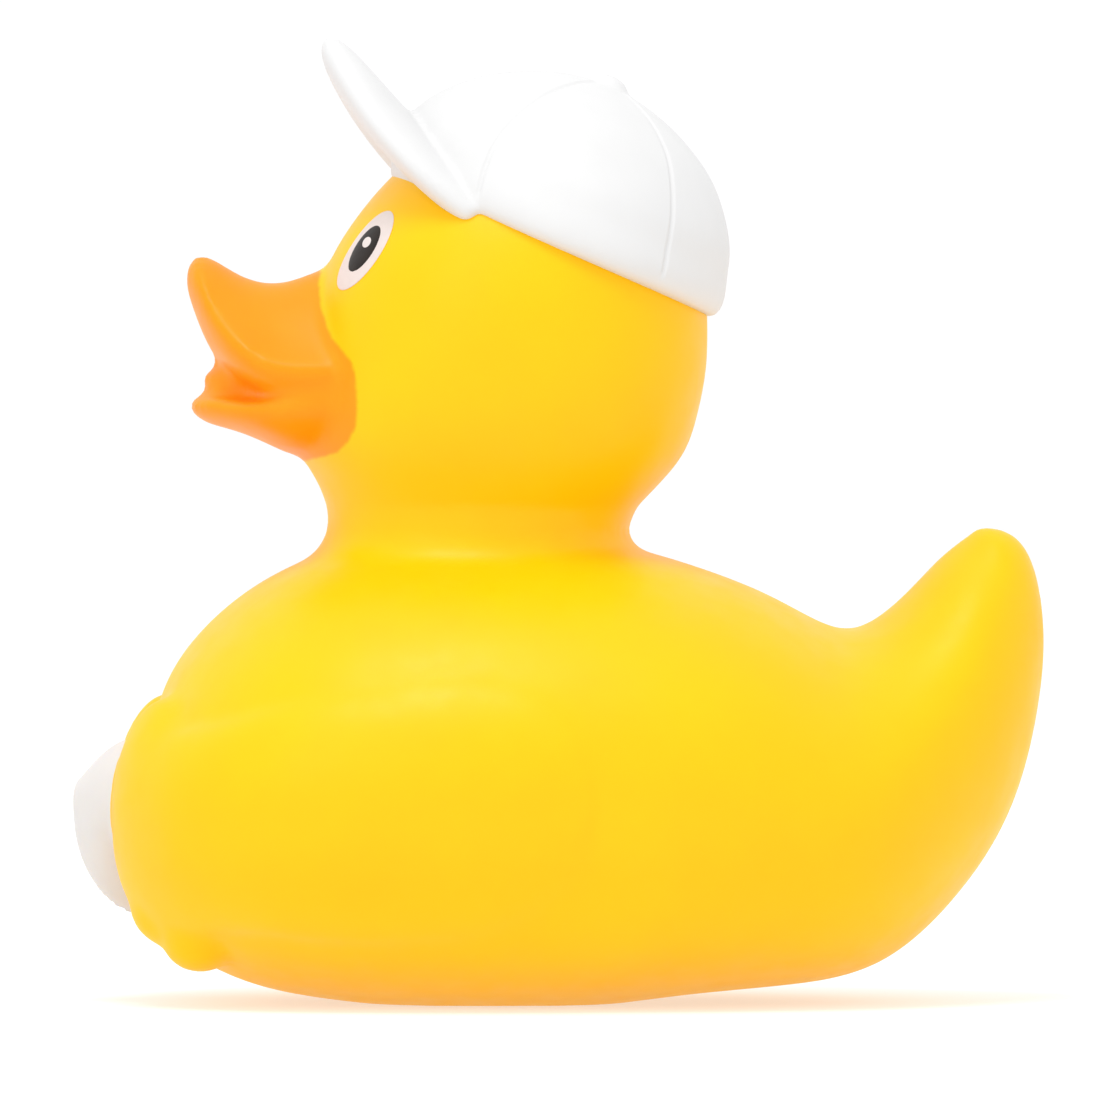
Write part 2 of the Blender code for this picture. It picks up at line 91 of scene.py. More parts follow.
BEAK_TOP = [
    ((-13.0, 62.0), (-13.0, 62.0), 0.0, 0.4, 2.0, 2.4),
    ((-14.0, 67.0), (-14.0, 57.0), 6.5, 0.35, 2.0, 2.6),
    ((-18.0, 69.3), (-18.0, 55.6), 9.9, 0.28, 2.0, 3.0),
    ((-22.4, 68.3), (-23.0, 55.6), 10.8, 0.28, 1.9, 3.0),
    ((-26.5, 67.1), (-27.2, 56.5), 10.8, 0.30, 1.8, 3.0),
    ((-29.4, 67.7), (-29.8, 58.0), 9.9, 0.34, 1.8, 2.8),
    ((-31.5, 68.9), (-31.7, 59.8), 8.0, 0.40, 1.8, 2.6),
    ((-33.0, 69.6), (-33.0, 62.0), 6.0, 0.48, 1.9, 2.4),
    ((-34.1, 69.3), (-34.0, 64.5), 3.7, 0.52, 2.0, 2.2),
    ((-34.7, 67.3), (-34.7, 67.3), 0.0, 0.5, 2.0, 2.0),
]
BEAK_LOW = [
    ((-14.0, 55.0), (-14.0, 55.0), 0.0, 0.6, 2.4, 2.0),
    ((-15.0, 58.0), (-15.0, 51.5), 6.5, 0.6, 2.4, 2.0),
    ((-19.5, 58.8), (-20.5, 50.9), 10.2, 0.62, 2.8, 2.0),
    ((-24.0, 58.2), (-24.4, 51.0), 10.35, 0.66, 3.0, 2.0),
    ((-28.0, 56.6), (-27.8, 52.4), 9.3, 0.68, 2.8, 2.0),
    ((-31.0, 56.5), (-30.8, 53.5), 7.1, 0.64, 2.6, 2.0),
    ((-33.1, 56.6), (-32.8, 54.1), 4.6, 0.60, 2.2, 2.0),
    ((-34.1, 56.2), (-33.9, 54.8), 2.5, 0.5, 2.0, 2.0),
    ((-34.45, 55.6), (-34.45, 55.6), 0.0, 0.5, 2.0, 2.0),
]
TONGUE_MIDDLE, TONGUE_RADII = (0.0, -26.4, 58.0), (5.2, 6.8, 2.1)

CAP_MIDDLE = (-0.75, 70.85)  # middle of the rim, y and z
CAP_BACK, CAP_UP = (0.9195, -0.393), (0.393, 0.9195)  # along the rim plane to the back, and square to it
# height over the rim plane, front reach, back reach, half width
CROWN = [
    (-3.0, -1.0, 2.0, 0.0),
    (-2.2, -8.0, 9.0, 8.5),
    (-0.7, -14.6, 15.3, 15.6),
    (-0.1, -16.1, 16.8, 17.3),
    (1.4, -16.7, 17.0, 17.6),
    (3.3, -16.95, 16.5, 17.2),
    (5.5, -16.8, 15.85, 16.6),
    (7.5, -16.0, 14.8, 15.6),
    (9.5, -14.5, 13.3, 14.1),
    (11.3, -12.6, 11.5, 12.3),
    (12.9, -10.3, 9.1, 9.9),
    (14.15, -7.7, 6.5, 7.3),
    (15.1, -5.0, 3.5, 4.3),
    (15.65, -0.7, -0.7, 0.0),
]
PEAK_START, PEAK_OUT, PEAK_UP = (-8.3, 73.9), (-0.638, 0.769), (0.769, 0.638)
PEAK_HALF_WIDTH, PEAK_LENGTH, PEAK_BEHIND, PEAK_HALF_THICK = 15.5, 20.9, 2.6, 2.05
PEAK_ARCH = 1.6
BUTTON_HEIGHT, BUTTON_RADIUS, BUTTON_RISE = 15.2, 2.0, 1.4
SEAMS = (60.0, 127.5, 180.0)  # degrees round the crown from its front, the first two on both sides
SEAM_DEPTH, SEAM_HALF_WIDTH = 0.16, 0.42

HEART_FACE_Y, HEART_MIDDLE_Z, HEART_SCALE, HEART_DEPTH, HEART_LEAN = -37.9, 17.7, 0.585, 7.35, 0.15

WING_AXIS_Y = -10.0  # level rays from here carry the wing onto the body
WING_BURIED, WING_SUNK = 0.9, 0.8  # back and rim under the body's face, mm
# Stations of a wing from its rear end: (degrees round from the front, height) of the top edge and of the
# bottom edge, and how far it stands off the body
WING = [
    ((113.0, 18.8), (113.0, 18.8), 0.0, 0.5, 2.6, 2.6),
    ((112.0, 23.0), (112.0, 14.6), 1.0, 0.5, 2.6, 2.6),
    ((109.0, 28.3), (109.0, 10.6), 1.4, 0.5, 2.6, 2.6),
    ((102.0, 31.0), (103.0, 7.9), 1.6, 0.5, 2.6, 2.6),
    ((92.0, 31.6), (93.0, 6.2), 1.7, 0.5, 2.6, 2.6),
    ((78.0, 30.7), (78.0, 5.6), 1.8, 0.5, 2.6, 2.6),
    ((62.0, 29.3), (62.0, 5.9), 2.0, 0.5, 2.6, 2.6),
    ((48.0, 27.4), (48.0, 6.9), 2.3, 0.5, 2.6, 2.6),
    ((38.0, 26.3), (39.0, 6.6), 2.7, 0.5, 2.6, 2.6),
    ((32.0, 26.5), (32.0, 5.6), 3.2, 0.5, 2.6, 2.6),
    ((26.0, 28.2), (26.0, 5.0), 3.8, 0.5, 2.6, 2.6),
    ((20.0, 28.6), (20.0, 5.4), 4.2, 0.5, 2.6, 2.6),
    ((15.0, 26.6), (15.5, 7.4), 4.0, 0.5, 2.6, 2.6),
    ((12.4, 21.5), (12.9, 11.0), 2.8, 0.5, 2.6, 2.6),
    ((12.0, 16.3), (12.0, 16.3), 0.0, 0.5, 2.6, 2.6),
]
FEATHERS = [((10.4, -35.0, 9.4), (4.2, 5.0, 4.2)), ((12.4, -33.4, 6.6), (4.2, 3.7, 3.3))]  # middles and radii

HOLE_RADIUS, RECESS_RADIUS, RECESS_DEPTH, HOLE_Y = 4.5, 6.2, 1.5, -6.0
SQUEAKER = [  # radius and height of the squeaker's outline
    (1.1, 8.2), (3.3, 8.2), (4.1, 7.6), (4.1, 1.2), (5.8, 1.2), (5.8, 0.6), (5.5, 0.3), (1.1, 0.3),
]

# Where the orange paint ends on the head, seen from the side (y, z), from the top down
BEAK_PAINT_EDGE = [
    (-22.0, 70.5), (-22.2, 68.3), (-22.4, 67.1), (-22.2, 64.7), (-21.7, 63.0), (-21.3, 62.0), (-20.3, 60.8),
    (-19.4, 59.6), (-19.1, 58.4), (-19.0, 56.9), (-18.9, 55.2), (-19.1, 53.6), (-19.8, 52.3), (-20.6, 51.4),
    (-21.7, 51.0), (-23.4, 50.6), (-30.0, 48.0),
]

# Eye prints, as they show from the side: their middle (y, z), then for each ink how far off it lies, half its level
# width, and how far its top leans back and stands up
EYE_MIDDLE = (-18.11, 70.04)
EYE_WHITE = ((0.0, 0.0), 1.56, (2.09, 3.675))
EYE_PUPIL = ((-0.05, 0.14), 0.976, (1.165, 2.19))
EYE_GLINT = ((0.18, 0.69), 0.406, (0.185, 0.566))


# ---- drawing forms ----

def deselect():
    bpy.ops.object.select_all(action="DESELECT")


def choose(thing):
    deselect()
    thing.select_set(True)
    bpy.context.view_layer.objects.active = thing


def spline(knots, rows, wanted):
    """Natural cubic spline through rows at knots, read at wanted."""
    knots, rows, wanted = (np.asarray(a, float) for a in (knots, rows, wanted))
    step = np.diff(knots)
    count = len(knots)
    matrix = np.eye(count)
    right = np.zeros_like(rows)
    for i in range(1, count - 1):
        matrix[i, i - 1 : i + 2] = step[i - 1], 2 * (step[i - 1] + step[i]), step[i]
        right[i] = 6 * ((rows[i + 1] - rows[i]) / step[i] - (rows[i] - rows[i - 1]) / step[i - 1])
    bend = np.linalg.solve(matrix, right)
    at = np.clip(np.searchsorted(knots, wanted) - 1, 0, count - 2)
    h, a, b = step[at, None], (knots[at + 1] - wanted)[:, None], (wanted - knots[at])[:, None]
    return (
        bend[at] * a**3 / (6 * h)
        + bend[at + 1] * b**3 / (6 * h)
        + (rows[at] / h - bend[at] * h / 6) * a
        + (rows[at + 1] / h - bend[at + 1] * h / 6) * b
    )


def turned(row):
    """A station as met when the outline is followed round an end: top and bottom swap and the width changes sign."""
    return [row[2], row[3], row[0], row[1], -row[4], row[5], row[6], row[7]]


def rings_of(stations, count):
    """Stations read at count places, evenly along the form, with both ends rounded."""
    flat = [[*s[0], *s[1], *s[2:]] + [0.5, 2.0, 2.0][len(s) - 3 :] for s in stations]
    extra = 2
    flat = [turned(r) for r in flat[extra:0:-1]] + flat + [turned(r) for r in flat[-2 : -2 - extra : -1]]
    rows = np.array(flat, float)
    lengths = np.linalg.norm(np.diff(rows[:, :5], axis=0), axis=1)
    knots = np.concatenate([[0], np.cumsum(lengths)])
    wanted = np.linspace(knots[extra], knots[-1 - extra], count)
    return spline(knots, rows, wanted)


def section(row, angle):
    """The point of one ring at an angle from its top, in mm."""
    top, low, half, widest, full_top, full_low = row[0:2], row[2:4], row[4], row[5], row[6], row[7]
    middle = low + widest * (top - low)
    c, s = math.cos(angle), math.sin(angle)
    end, full = (top, full_top) if c >= 0 else (low, full_low)
    along = abs(c) ** (2 / full)
    across = math.copysign(abs(s) ** (2 / full), s) if abs(s) > 1e-9 else 0.0
    y, z = middle + along * (end - middle)
    return np.array([abs(half) * across, y, z])


def bill_section(row, angle):
    """A ring of the upper bill: a roof with a soft ridge along each side, over an upright wall; round at the tip."""
    plain = section(row, angle)
    share = min(1.0, max(0.0, (plain[1] + 34.4) / 2.2))
    if math.cos(angle) <= 0 or share == 0:
        return plain
    s = abs(math.sin(angle))
    middle = row[2:4] + row[5] * (row[0:2] - row[2:4])
    y, z = middle + (0.45 * (1 + math.cos(math.pi * s)) / 2 + 0.55 * (1 - s * s)) * (row[0:2] - middle)
    roof = np.array([math.copysign(s, math.sin(angle)) * abs(row[4]), y, z])
    return plain + share * (roof - plain)


def outward(thing):
    """Doubled points merged and all faces turned outwards."""
    choose(thing)
    bpy.ops.object.mode_set(mode="EDIT")
    bpy.ops.mesh.select_all(action="SELECT")
    bpy.ops.mesh.remove_doubles(threshold=1e-7)
    bpy.ops.mesh.normals_make_consistent(inside=False)
    bpy.ops.object.mode_set(mode="OBJECT")


def sphere(name, segments, rings, place):
    """A UV sphere carried, vertex by vertex, to place(ring, segment, unit point), in mm."""
    deselect()
    bpy.ops.mesh.primitive_uv_sphere_add(segments=segments, ring_count=rings, radius=1.0, location=(0, 0, 0))
    made = bpy.context.active_object
    made.name = made.data.name = name
    for vertex in made.data.vertices:
        x, y, z = vertex.co
        ring = round(math.acos(max(-1.0, min(1.0, z))) / math.pi * rings)
        segment = round(math.atan2(y, x) / (2 * math.pi) * segments) % segments
        vertex.co = Vector(place(ring, segment, (x, y, z))) * MM
    outward(made)
    return made


def loft(name, stations, segments, rings, floor=None, read=section):
    rows = rings_of(stations, rings + 1)

    def place(ring, segment, unit):
        point = read(rows[ring], 2 * math.pi * segment / segments)
        if floor is not None:
            point[2] = max(point[2], floor)
        return point

    return sphere(name, segments, rings, place)


def surface_of(thing):
    made = bmesh.new()
    made.from_mesh(thing.data)
    tree = BVHTree.FromBMesh(made)
    made.free()
    return tree


def drop_onto(tree, x, y):
    hit = tree.ray_cast(Vector((x, y, 200.0)) * MM, Vector((0, 0, -1)))[0]
    return hit.z / MM if hit else 0.0


def head(name, body_tree, segments, rings):
    """The head, its neck flared onto the body by a fillet."""
    arc_steps = 12
    stations = [(*s, 0.5, 2.05, 2.05) for s in HEAD]
    flat = [[*s[0], *s[1], *s[2:]] for s in stations]
    flat = flat + [turned(r) for r in flat[-2:-4:-1]]
    rows = np.array(flat, float)
    knots = np.concatenate([[0], np.cumsum(np.linalg.norm(np.diff(rows[:, :5], axis=0), axis=1))])
    upper = rings - arc_steps - 3
    read = spline(knots, rows, np.linspace(0, knots[len(stations) - 1], upper + 1))
    foot = np.array([*NECK_FOOT[0], *NECK_FOOT[1], NECK_FOOT[2], 0.5, 2.05, 2.05])
    middle_y = (foot[0] + foot[2]) / 2
    arcs = []
    for segment in range(segments):
        start = section(foot, 2 * math.pi * segment / segments)
        out = np.array([start[0], start[1] - middle_y])
        out = out / np.linalg.norm(out)
        angles = np.linspace(0, math.pi / 2, 37)
        radius = NECK_FILLET - NECK_FILLET_LEAN * out[1]
        reach = radius * (1 - np.cos(angles))
        lands = [drop_onto(body_tree, start[0] + out[0] * r, start[1] + out[1] * r) for r in reach]
        heights = np.array(lands) + radius * np.sin(angles)
        best = int(heights.argmax())
        centre = heights[best]
        points = []
        for k in range(arc_steps + 1):
            a = angles[best] * k / arc_steps
            r = radius * (1 - math.cos(a))
            points.append((start[0] + out[0] * r, start[1] + out[1] * r, centre - radius * math.sin(a)))
        r = radius * (1 - math.cos(angles[best])) + 1.4
        x, y = start[0] + out[0] * r, start[1] + out[1] * r
        points.append((x, y, drop_onto(body_tree, x, y) - 0.5))
        points.append((start[0] * 0.8, middle_y + (start[1] - middle_y) * 0.8, 33.0))
        arcs.append(points)

    def place(ring, segment, unit):
        if ring <= upper:
            return section(read[upper - ring], 2 * math.pi * segment / segments)
        if ring < rings:
            return arcs[segment][ring - upper - 1]
        return (0.0, middle_y, 32.0)

    return sphere(name, segments, rings, place)


def on_cap(along, height, across=0.0):
    return (
        across,
        CAP_MIDDLE[0] + along * CAP_BACK[0] + height * CAP_UP[0],
        CAP_MIDDLE[1] + along * CAP_BACK[1] + height * CAP_UP[1],
    )


def crown_stations():
    made = []
    for height, front, back, half in CROWN:
        made.append((on_cap(front, height)[1:], on_cap(back, height)[1:], half, 0.5, 2.0, 2.0))
    return made


def peak_place(ring, segment, unit):
    x, forward, up = unit
    reach = math.hypot(x, forward)
    along = forward * (PEAK_LENGTH if forward > 0 else PEAK_BEHIND)
    across = PEAK_HALF_WIDTH * x
    thick = math.copysign(PEAK_HALF_THICK * max(0.0, 1 - reach**7) ** 0.5, up)
    share = min(1.0, max(0.0, along / PEAK_LENGTH))
    lift = 1.1 - 5.2 * share + 3.9 * share**2 - PEAK_ARCH * x * x + thick
    return (
        across,
        PEAK_START[0] + along * PEAK_OUT[0] + lift * PEAK_UP[0],
        PEAK_START[1] + along * PEAK_OUT[1] + lift * PEAK_UP[1],
    )


def button_place(ring, segment, unit):
    return on_cap(-0.7 + BUTTON_RADIUS * unit[1], BUTTON_HEIGHT + BUTTON_RISE * unit[2], BUTTON_RADIUS * unit[0])


def heart_outline(t):
    x = 16 * math.sin(t) ** 3
    z = 13 * math.cos(t) - 5 * math.cos(2 * t) - 2 * math.cos(3 * t) - math.cos(4 * t)
    return np.array([x, z]) * HEART_SCALE


def heart_place(ring, segment, unit):
    x, up, out = unit
    reach = math.hypot(x, up)
    turn = math.atan2(x, up)
    oval = np.array([7.6 * math.sin(turn), 8.2 * math.cos(turn) - 1.0])  # puffs the middle out, clear of the notch
    share = reach**2.2
    across, rise = (heart_outline(turn) * share + oval * (1 - share)) * reach
    depth = HEART_DEPTH if out > 0 else 4.0
    y = HEART_FACE_Y - HEART_LEAN * max(0.0, rise) - math.copysign(depth * abs(out) ** 0.92, out)
    return across, y, HEART_MIDDLE_Z + rise


def wing(name, tree, segments, rings, side):
    """A wing: stations laid round the body and stood off it."""
    rows = rings_of(WING, rings + 1)

    def place(ring, segment, unit):
        off, turn, height = section(rows[ring], 2 * math.pi * segment / segments)
        off = (off if off > 0 else off * WING_BURIED / max(rows[ring][4], 0.01)) - WING_SUNK
        turn = math.radians(turn)
        start = Vector((0, WING_AXIS_Y, height)) * MM
        hit, normal = tree.ray_cast(start, Vector((side * math.sin(turn), -math.cos(turn), 0)))[:2]
        return (hit + normal * off * MM) / MM

    return sphere(name, segments, rings, place)


def cylinder(name, radius, z_low, z_high):
    deselect()
    bpy.ops.mesh.primitive_cylinder_add(vertices=64, radius=radius * MM, depth=(z_high - z_low) * MM,
                                        location=(0, HOLE_Y * MM, (z_low + z_high) / 2 * MM))
    made = bpy.context.active_object
    made.name = made.data.name = name
    bpy.ops.object.transform_apply(location=True, rotation=True, scale=True)
    return made


def apply_modifiers(thing):
    choose(thing)
    for modifier in list(thing.modifiers):
        bpy.ops.object.modifier_apply(modifier=modifier.name)


def cut(thing, tools):
    for tool in tools:
        modifier = thing.modifiers.new("cut", "BOOLEAN")
        modifier.operation, modifier.solver, modifier.object = "DIFFERENCE", "EXACT", tool
    apply_modifiers(thing)
    for tool in tools:
        bpy.data.objects.remove(tool, do_unlink=True)


def blend_forms(name, forms, grid):
    """The forms joined and drawn over as one closed skin."""
    deselect()
    for form in forms:
        form.select_set(True)
    bpy.context.view_layer.objects.active = forms[0]
    bpy.ops.object.join()
    made = bpy.context.active_object
    made.name = made.data.name = name
    remesh = made.modifiers.new("skin", "REMESH")
    remesh.mode, remesh.voxel_size, remesh.use_smooth_shade = "VOXEL", grid * MM, True
    apply_modifiers(made)
    return made


def smooth(thing, rounds, weights=None):
    """Evens the surface out, everywhere or by a weight for each vertex."""
    modifier = thing.modifiers.new("even", "SMOOTH")
    modifier.factor, modifier.iterations = 0.5, rounds
    if weights is not None:
        group = thing.vertex_groups.new(name="even")
        for step in range(1, 11):
            picked = np.nonzero(np.round(weights * 10) == step)[0]
            group.add(picked.tolist(), step / 10, "REPLACE")
        modifier.vertex_group = group.name
    apply_modifiers(thing)
    if weights is not None:
        thing.vertex_groups.clear()


def vertices_of(thing):
    flat = np.empty(len(thing.data.vertices) * 3)
    thing.data.vertices.foreach_get("co", flat)
    return flat.reshape(-1, 3) / MM


def distances(thing, tree):
    """How far each vertex is from a form's surface, in mm."""
    return np.array([tree.find_nearest(v.co)[3] for v in thing.data.vertices]) / MM


def store(thing, name, values):
    made = thing.data.attributes.new(name, "FLOAT", "POINT")
    made.data.foreach_set("value", values.astype(np.float32))


def edge_distance(points, edge):
    """Signed distance of (y, z) points from a polyline run from the top down: positive in front of it."""
    best = np.full(len(points), 1e9)
    side = np.ones(len(points))
    for a, b in zip(edge[:-1], edge[1:]):
        a, b = np.array(a), np.array(b)
        way = b - a
        share = np.clip(((points - a) @ way) / (way @ way), 0, 1)
        off = points - (a + share[:, None] * way)
        far = np.linalg.norm(off, axis=1)
        turn = way[1] * off[:, 0] - way[0] * off[:, 1]
        closer = far < best
        best[closer] = far[closer]
        side[closer] = np.sign(turn[closer])
    return best * side


# ---- finishes ----

def linear(colour):
    """An sRGB hex colour as linear RGBA."""
    parts = [int(colour[i : i + 2], 16) / 255 for i in (1, 3, 5)]
    return (*[p / 12.92 if p <= 0.04045 else ((p + 0.055) / 1.055) ** 2.4 for p in parts], 1.0)


def add_node(tree, kind, inputs=None, **settings):
    """A node with its settings, and a value or a link for each named input."""
    made = tree.nodes.new(kind)
    for name, value in settings.items():
        setattr(made, name, value)
    for socket, value in (inputs or {}).items():
        if isinstance(value, bpy.types.NodeSocket):
            tree.links.new(value, made.inputs[socket])
        else:
            made.inputs[socket].default_value = value
    return made


def new_material(name):
    made = bpy.data.materials.new(name)
    made.use_nodes = True
    tree = made.node_tree
    return made, tree, tree.nodes["Principled BSDF"], add_node(tree, "ShaderNodeTexCoord").outputs["Object"]


def link(tree, output, shader, socket):
    tree.links.new(output, shader.inputs[socket])


def mottled(tree, place, size, light, dark, detail=3.0):
    """A colour that drifts between two close shades over patches of size mm."""
    noise = add_node(tree, "ShaderNodeTexNoise", {"Vector": place, "Scale": 1000 / size, "Detail": detail,
                                                  "Roughness": 0.55})
    ramp = add_node(tree, "ShaderNodeValToRGB", {"Fac": noise.outputs["Fac"]})
    ramp.color_ramp.elements[0].position, ramp.color_ramp.elements[0].color = 0.32, linear(dark)
    ramp.color_ramp.elements[1].position, ramp.color_ramp.elements[1].color = 0.68, linear(light)
    return ramp.outputs["Color"]


def spread(tree, place, size, low, high, detail=4.0):
    """A value that wanders between low and high over patches of size mm."""
    noise = add_node(tree, "ShaderNodeTexNoise", {"Vector": place, "Scale": 1000 / size, "Detail": detail})
    return add_node(tree, "ShaderNodeMapRange", {"Value": noise.outputs["Fac"], "From Min": 0.3, "From Max": 0.7,
                                                 "To Min": low, "To Max": high}).outputs["Result"]


def bumped(tree, layers):
    """Bump from (height, how much, depth in mm) layers, one on another."""
    normal = None
    for height, strength, depth in layers:
        inputs = {"Height": height, "Strength": strength, "Distance": depth * MM}
        if normal is not None:
            inputs["Normal"] = normal
        normal = add_node(tree, "ShaderNodeBump", inputs).outputs["Normal"]
    return normal


def painted_vinyl():
    """Soft PVC, rotation-moulded: a satin skin with light going a little way in, flesh coloured right through,
    with orange and white lacquer sprayed through masks on the beak and the heart."""
    made, tree, shader, place = new_material("soft_pvc_rotation_moulded_and_sprayed")
    yellow = mottled(tree, place, 14.0, "#FFC100", "#FDBD00")
    orange = mottled(tree, place, 6.0, "#FD9407", "#FA9003")
    white = mottled(tree, place, 8.0, "#D9D5D2", "#D5D1CD")
    # the sprayed edge wanders by a few hundredths of a millimetre
    wander = spread(tree, place, 0.9, -0.06, 0.06)
    colour = yellow
    for name, paint, soft in (("beak_paint", orange, 0.22), ("heart_paint", white, 0.10)):
        off = add_node(tree, "ShaderNodeAttribute", attribute_name=name).outputs["Fac"]
        off = add_node(tree, "ShaderNodeMath", {0: off, 1: wander}, operation="ADD").outputs[0]
        mask = add_node(tree, "ShaderNodeMapRange", {"Value": off, "From Min": -soft, "From Max": soft},
                        interpolation_type="SMOOTHSTEP").outputs["Result"]
        colour = add_node(tree, "ShaderNodeMix", {0: mask, 6: colour, 7: paint}, data_type="RGBA").outputs[2]
    link(tree, colour, shader, "Base Color")
    link(tree, spread(tree, place, 3.0, 0.36, 0.46), shader, "Roughness")
    grain = add_node(tree, "ShaderNodeTexNoise", {"Vector": place, "Scale": 1000 / 0.35, "Detail": 3.0}).outputs["Fac"]
    ripple = add_node(tree, "ShaderNodeTexNoise", {"Vector": place, "Scale": 1000 / 9.0, "Detail": 1.0}).outputs["Fac"]
    link(tree, bumped(tree, [(ripple, 0.35, 0.25), (grain, 0.16, 0.02)]), shader, "Normal")
    shader.inputs["IOR"].default_value = 1.5
    shader.inputs["Specular IOR Level"].default_value = 0.2
    shader.inputs["Subsurface Weight"].default_value = 0.12
    shader.inputs["Subsurface Radius"].default_value = (1.0, 0.6, 0.2)
    shader.inputs["Subsurface Scale"].default_value = 0.0015
    return made


def sprayed_white(name, light, dark):
    """White lacquer sprayed over the soft PVC: a fine orange-peel satin."""
    made, tree, shader, place = new_material(name)
    link(tree, mottled(tree, place, 9.0, light, dark), shader, "Base Color")
    link(tree, spread(tree, place, 2.5, 0.42, 0.52), shader, "Roughness")
    peel = add_node(tree, "ShaderNodeTexNoise", {"Vector": place, "Scale": 1000 / 0.4, "Detail": 2.0}).outputs["Fac"]
    ripple = add_node(tree, "ShaderNodeTexNoise", {"Vector": place, "Scale": 1000 / 7.0, "Detail": 1.0}).outputs["Fac"]
    link(tree, bumped(tree, [(ripple, 0.3, 0.2), (peel, 0.14, 0.02)]), shader, "Normal")
    shader.inputs["IOR"].default_value = 1.5
    return made


def printed_ink(name, light, dark, low, high):
    """Pad-printed ink: a thin glossy film with the skin's grain showing through."""
    made, tree, shader, place = new_material(name)
    link(tree, mottled(tree, place, 1.2, light, dark), shader, "Base Color")
    link(tree, spread(tree, place, 0.8, low, high), shader, "Roughness")
    film = add_node(tree, "ShaderNodeTexNoise", {"Vector": place, "Scale": 1000 / 0.3, "Detail": 2.0}).outputs["Fac"]
    link(tree, bumped(tree, [(film, 0.12, 0.015)]), shader, "Normal")
    shader.inputs["Specular IOR Level"].default_value = 0.2
    return made


def moulded_polythene():
    """Low-density polythene, injection-moulded: milky, waxy, with faint turning marks from the mould."""
    made, tree, shader, place = new_material("polythene_injection_moulded")
    link(tree, mottled(tree, place, 2.0, "#F1EFE6", "#E6E3D6"), shader, "Base Color")
    link(tree, spread(tree, place, 1.0, 0.34, 0.48), shader, "Roughness")
    centred = add_node(tree, "ShaderNodeMapping", {"Vector": place, "Location": (0, -HOLE_Y * MM, 0)}).outputs["Vector"]
    rings = add_node(tree, "ShaderNodeTexWave", {"Vector": centred, "Scale": 1000 / 0.5 / (2 * math.pi),
                                                 "Distortion": 0.4, "Detail": 1.0},
                     wave_type="RINGS", rings_direction="Z").outputs["Fac"]
    wax = add_node(tree, "ShaderNodeTexNoise", {"Vector": place, "Scale": 1000 / 0.5, "Detail": 3.0}).outputs["Fac"]
    link(tree, bumped(tree, [(rings, 0.2, 0.03), (wax, 0.2, 0.03)]), shader, "Normal")
    shader.inputs["Subsurface Weight"].default_value = 0.2
    shader.inputs["Subsurface Radius"].default_value = (1.0, 0.95, 0.85)
    shader.inputs["Subsurface Scale"].default_value = 0.001
    shader.inputs["IOR"].default_value = 1.51
    return made


def light_table():
    """Opal acrylic, sand-blasted and softly lit from below: it throws a pale light under the duck."""
    made, tree, shader, place = new_material("opal_acrylic_sand_blasted")
    link(tree, mottled(tree, place, 60.0, "#C4C4C4", "#C2C2C2"), shader, "Base Color")
    shader.inputs["Roughness"].default_value = 0.9
    shader.inputs["Specular IOR Level"].default_value = 0.1
    shader.inputs["Emission Color"].default_value = (1.0, 1.0, 1.0, 1.0)
    shader.inputs["Emission Strength"].default_value = 0.5
    return made


# ---- pieces ----

def duck_skin():
    """Body, head, wings, heart and beak, drawn over as one skin, with the squeaker's seat in its base."""
    body = loft("body_form", BODY, 160, 150, floor=0.0)
    body_tree = surface_of(body)
    cut(body, [cylinder("hole", HOLE_RADIUS, -2.0, 9.5), cylinder("recess", RECESS_RADIUS, -2.0, RECESS_DEPTH)])
    plain = [body, head("head_form", body_tree, 150, 110)]
    for side in (1, -1):
        plain.append(wing("wing_form", body_tree, 90, 150, side))
        for middle, radii in FEATHERS:
            plain.append(sphere("feather_form", 64, 40, lambda ring, segment, p, middle=middle, radii=radii: (
                side * (middle[0] + p[0] * radii[0]), middle[1] + p[1] * radii[1], middle[2] + p[2] * radii[2])))
    beak = [loft("beak_form_top", BEAK_TOP, 110, 80, read=bill_section), loft("beak_form_low", BEAK_LOW, 90, 60)]
    beak.append(sphere("tongue_form", 64, 40, lambda ring, segment, p: (
        TONGUE_MIDDLE[0] + p[0] * TONGUE_RADII[0], TONGUE_MIDDLE[1] + p[1] * TONGUE_RADII[1],
        TONGUE_MIDDLE[2] + p[2] * TONGUE_RADII[2])))
    heart = sphere("heart_form", 140, 80, heart_place)
    trees = [surface_of(form) for form in [*plain, *beak, heart]]
    skin = blend_forms("duck_skin", [*plain, *beak, heart], SKIN_GRID)
    smooth(skin, 5)
    away = np.array([distances(skin, tree) for tree in trees])
    near = np.sort(away, axis=0)
    smooth(skin, 10, np.clip(1.25 - near[1] / 1.2, 0, 1))
    store(skin, "heart_paint", away[:-1].min(axis=0) - away[-1])
    store(skin, "beak_paint", edge_distance(vertices_of(skin)[:, 1:], BEAK_PAINT_EDGE))
    return skin


def seam_distance(thing, crown_tree, button_tree):
    """For each vertex, how far it is round the crown from the nearest seam, and how far off the bare crown it lies:
    on the peak, under the button or below the rim."""
    points = vertices_of(thing)
    y, z = points[:, 1] - CAP_MIDDLE[0], points[:, 2] - CAP_MIDDLE[1]
    along, height = y * CAP_BACK[0] + z * CAP_BACK[1], y * CAP_UP[0] + z * CAP_UP[1]
    table = np.array(CROWN[3:])
    front, back, half = (np.interp(height, table[:, 0], table[:, i]) for i in (1, 2, 3))
    deep, half = np.maximum((back - front) / 2, 0.6), np.maximum(half, 0.6)
    turn = np.degrees(np.arctan2(np.abs(points[:, 0]) / half, ((front + back) / 2 - along) / deep))
    radius = np.hypot(np.abs(points[:, 0]), (front + back) / 2 - along)
    off = np.min([np.abs(np.radians(turn - seam)) * radius for seam in SEAMS], axis=0)
    beyond = np.maximum(distances(thing, crown_tree) * 4, 1.6 - height)
    return off, np.maximum(beyond, 1.0 - distances(thing, button_tree))


